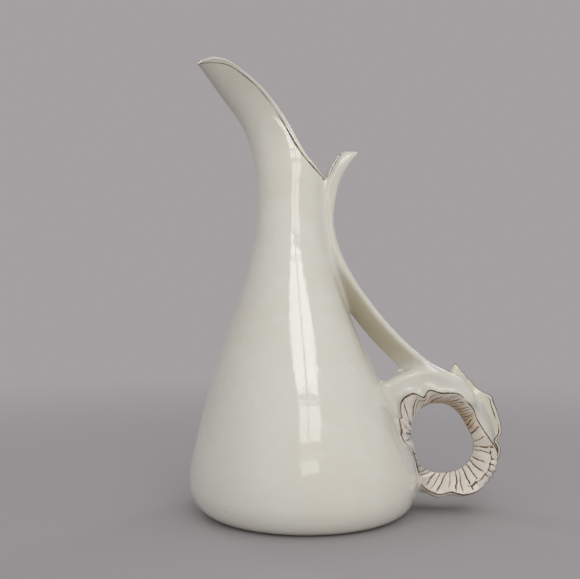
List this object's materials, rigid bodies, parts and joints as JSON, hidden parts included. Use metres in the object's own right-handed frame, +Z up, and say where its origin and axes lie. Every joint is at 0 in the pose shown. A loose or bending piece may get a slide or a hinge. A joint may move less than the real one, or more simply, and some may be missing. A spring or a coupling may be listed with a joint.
{
  "type": "ewer",
  "caption": "Tall glazed ewer with a round belly, slender neck, long cut spout, strap handle, thumb lip and a frilled, gilded finger ring.",
  "frame": {"origin": "centre of the foot, on the plane that the ewer stands on", "axes": "+Z up, -X towards the spout, +X towards the handle, -Y the side that the gilled frill opens to"},
  "size_m": [0.2057, 0.15, 0.2989],
  "materials": {
    "glaze": "gloss",
    "gilt": "worn"
  },
  "bodies": {
    "root": {"base": "glaze", "body": "glaze", "neck_spout": "glaze", "rear_lip": "glaze", "strap_handle": "glaze", "ring_saddle": "glaze", "finger_ring": "glaze", "front_frill": "glaze", "back_frill": "glaze", "gilt_rim_line": "gilt", "gilt_frill_edges": "gilt", "gilt_gills": "gilt"}
  },
  "joints": []
}
